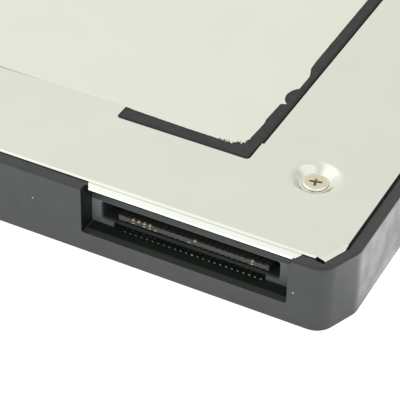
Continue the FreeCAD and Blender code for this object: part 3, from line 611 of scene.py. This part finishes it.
def tail_solder():
    """The tail joints: dull and dark with painted shade, and a painted highlight dot at each tip
    that is brighter to the right.
    """
    # The dark tone of the whole joint is painted shade.
    look = soft_metal("tail_solder", (0.05, 0.05, 0.045), (0.075, 0.075, 0.07), 0.45, 0.004)
    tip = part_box("connector_tail_solder")[0].y / MM
    at_tip = look.spread(look.parts()[1], (tip + SOLDER_TIP) * MM, (tip + 0.5 * SOLDER_TIP) * MM)
    along = look.math("SUBTRACT", look.parts()[0], contact_x(0) * MM)
    aside = look.math("PINGPONG", along, 0.5 * CONTACT_PITCH * MM)
    middle = look.spread(aside, SOLDER_DOT[0] * MM, SOLDER_DOT[1] * MM)
    at_tip = look.math("MULTIPLY", at_tip, middle)
    shaded_solder = look.shader.inputs["Base Color"].links[0].from_socket
    # The painted highlight dots grow brighter to the right, brightest on one joint.
    rightward = look.spread(look.parts()[0], contact_x(0) * MM, contact_x(CONTACTS - 1) * MM)
    bright = look.blend(rightward, (0.13, 0.14, 0.13), (0.29, 0.30, 0.29))
    brightest = look.math("COMPARE", look.parts()[0], contact_x(BRIGHT_TAIL) * MM,
                           BRIGHT_TAIL_HALF * MM)
    bright = look.blend(brightest, bright, (0.60, 0.60, 0.58))
    look.set("Base Color", look.blend(at_tip, shaded_solder, bright))
    return look


def tinned_steel():
    return soft_metal("tinned_steel", (0.66, 0.66, 0.64), (0.55, 0.55, 0.53), 0.32, 0.003)


def spring_metal():
    return soft_metal("spring_metal", (0.74, 0.66, 0.50), (0.66, 0.58, 0.43), 0.26, 0.001)


def crystal_can():
    return soft_metal("crystal_can", (0.70, 0.69, 0.64), (0.62, 0.61, 0.57), 0.24, 0.001)


def moulded_small(name, pale, dark, roughness, size):
    """The moulded or pressed bodies of the small components."""
    look = Finish(name)
    grain = look.noise(size, detail=3)
    look.set("Base Color", look.blend(grain, pale, dark))
    look.set("Roughness", look.spread(grain, 0.2, 0.8, roughness - 0.05, roughness + 0.05))
    look.bump(grain, 0.004)
    return look


def stacking_plastic():
    return moulded_small("stacking_plastic", (0.60, 0.55, 0.44), (0.54, 0.49, 0.39), 0.45, 0.5)


def chip_package():
    return moulded_small("chip_package", (0.020, 0.020, 0.021), (0.031, 0.031, 0.032), 0.48, 0.18)


def thermal_pad():
    return moulded_small("thermal_pad", (0.42, 0.48, 0.52), (0.36, 0.42, 0.46), 0.75, 0.6)


def ferrite():
    return moulded_small("ferrite", (0.055, 0.053, 0.052), (0.085, 0.082, 0.080), 0.62, 0.12)


def tantalum_case():
    return moulded_small("tantalum_case", (0.60, 0.33, 0.05), (0.52, 0.28, 0.04), 0.50, 0.4)


def ceramic_chip():
    return moulded_small("ceramic_chip", (0.47, 0.36, 0.25), (0.38, 0.28, 0.19), 0.40, 0.3)


def resistor_chip():
    return moulded_small("resistor_chip", (0.030, 0.030, 0.033), (0.050, 0.050, 0.053), 0.35, 0.2)


SLOT_FINISHES = (moulded_frame, cover_sheet, base_sheet, label_foil, black_foam, nickel_screws,
                 black_screws, brass, circuit_board, insulator_film, connector_plastic,
                 gold_contacts, solder, tinned_steel, spring_metal, crystal_can, stacking_plastic,
                 chip_package, thermal_pad, ferrite, tantalum_case, ceramic_chip, resistor_chip)
NODE_FINISHES = {"connector_upper_contacts": upper_contact_metal,
                 "connector_lower_contacts": lower_contact_metal,
                 "connector_tail_solder": tail_solder,
                 "board_screws": board_screw_metal}


def finish_nodes():
    """Gives every CAD node the finish of its slot, or its own."""
    by_slot = {make.__name__: make().material for make in SLOT_FINISHES}
    for part in frame["record"]["subparts"]:
        own = NODE_FINISHES.get(part["node"])
        node = frame["nodes"][part["node"]]
        node.data.materials.clear()
        node.data.materials.append(own().material if own else by_slot[part["material_slot"]])
    return by_slot


# ---------------------------------------------------------------- label foil

def top_outline(node):
    """The outline of a flat node's top face, as plan points in order."""
    mesh = bmesh.new()
    mesh.from_mesh(frame["nodes"][node].data)
    bmesh.ops.remove_doubles(mesh, verts=mesh.verts, dist=0.001 * MM)
    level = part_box(node)[1].z - OUTLINE_SLACK * MM
    top_faces = [f for f in mesh.faces if all(v.co.z > level for v in f.verts)]
    beside = {}
    for face in top_faces:
        for edge in face.edges:
            if sum(f in top_faces for f in edge.link_faces) == 1:
                start, end = edge.verts
                beside.setdefault(start, []).append(end)
                beside.setdefault(end, []).append(start)
    first = min(beside, key=lambda v: (round(v.co.x, 6), v.co.y))
    loop = [first, min(beside[first], key=lambda v: v.co.y)]
    while loop[-1] != first:
        loop.append(next(v for v in beside[loop[-1]] if v != loop[-2]))
    points = [Vector((v.co.x, v.co.y)) / MM for v in loop[:-1]]
    mesh.free()
    turns = sum(a.cross(b) for a, b in zip(points, points[1:] + points[:1]))
    return points if turns > 0 else points[::-1]


def on_slot(p, low, high):
    """Whether a point of the outline is on the slot, where the edge is torn."""
    return p.x > high.x - ON_SLOT or (p.x > TORN_FROM and p.y < low.y + ON_SLOT)


def torn_outline(points, low, high):
    """The outline in short steps, with small tears along the slot and ragged at its corner."""
    draw = random.Random(TORN_SEED)
    corner = Vector((high.x - CORNER_IN[0], low.y + CORNER_IN[1]))
    torn = []
    for start, end in zip(points, points[1:] + points[:1]):
        run = end - start
        at_corner = min((start - corner).length, (end - corner).length) < CORNER_JAG_REACH
        steps = max(1, math.ceil(run.length / (CORNER_STEP if at_corner else FOIL_STEP)))
        along = run.normalized()
        across = Vector((-along.y, along.x))
        for i in range(steps):
            p = start + run * (i / steps)
            ragged = max(0.0, 1 - (p - corner).length / CORNER_JAG_REACH)
            reach = TORN_JAG + CORNER_JAG * min(1.0, 2 * ragged)
            if on_slot(p, low, high):
                p = p + across * draw.uniform(-reach, reach)
            torn.append(p)
    return torn


def make_label_foil(finish):
    """A thin foil, torn and drooping along the slot, and lifting a little at the front left."""
    low, high = (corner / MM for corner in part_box("label_foil"))
    edge = torn_outline(top_outline("label_foil"), low, high)
    inner_low = Vector((low.x + FOIL_LEFT_BORDER, low.y + FOIL_FRONT_BORDER))
    inner_high = Vector((high.x - FOIL_BORDER, high.y - FOIL_BORDER))
    rest = high.z - FOIL_REST

    mesh = bmesh.new()
    rows = []
    for t in BORDER_ROWS:
        row = []
        for p in edge:
            q = Vector((min(max(p.x, inner_low.x), inner_high.x),
                        min(max(p.y, inner_low.y), inner_high.y)))
            at = p.lerp(q, t)
            inward = (at - p).length
            hangs = FOIL_DROOP if on_slot(p, low, high) else 0.0
            droop = hangs * max(0.0, 1 - inward / FOIL_DROOP_REACH) ** 2
            raised = (FOIL_LIFT_FROM - p.x) / (FOIL_LIFT_FROM - FOIL_LIFT_FULL)
            lifts = min(1.0, max(0.0, raised)) if p.y < low.y + FOIL_BORDER else 0.0
            lift = FOIL_REST * lifts * max(0.0, 1 - inward / FOIL_LIFT_REACH) ** 2
            row.append(mesh.verts.new(Vector((at.x, at.y, rest - droop + lift)) * MM))
        rows.append(row)
    for outer, inner in zip(rows, rows[1:]):
        for i in range(len(outer)):
            j = (i + 1) % len(outer)
            mesh.faces.new((outer[i], outer[j], inner[j], inner[i]))
    mesh.faces.new(rows[-1])
    bmesh.ops.remove_doubles(mesh, verts=mesh.verts, dist=0.0005 * MM)
    lower = bmesh.ops.extrude_face_region(mesh, geom=mesh.faces[:])["geom"]
    bmesh.ops.translate(mesh, verts=[v for v in lower if isinstance(v, bmesh.types.BMVert)],
                        vec=(0, 0, -FOIL_SHEET * MM))
    bmesh.ops.recalc_face_normals(mesh, faces=mesh.faces)
    data = bpy.data.meshes.new("label_foil_sheet")
    mesh.to_mesh(data)
    mesh.free()
    foil = bpy.data.objects.new("label_foil_sheet", data)
    bpy.context.collection.objects.link(foil)
    data.materials.append(finish)
    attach(foil, BODY)
    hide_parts("label_foil")


make_room()
make_table()
make_camera()
finishes = finish_nodes()
make_label_foil(finishes["label_foil"])
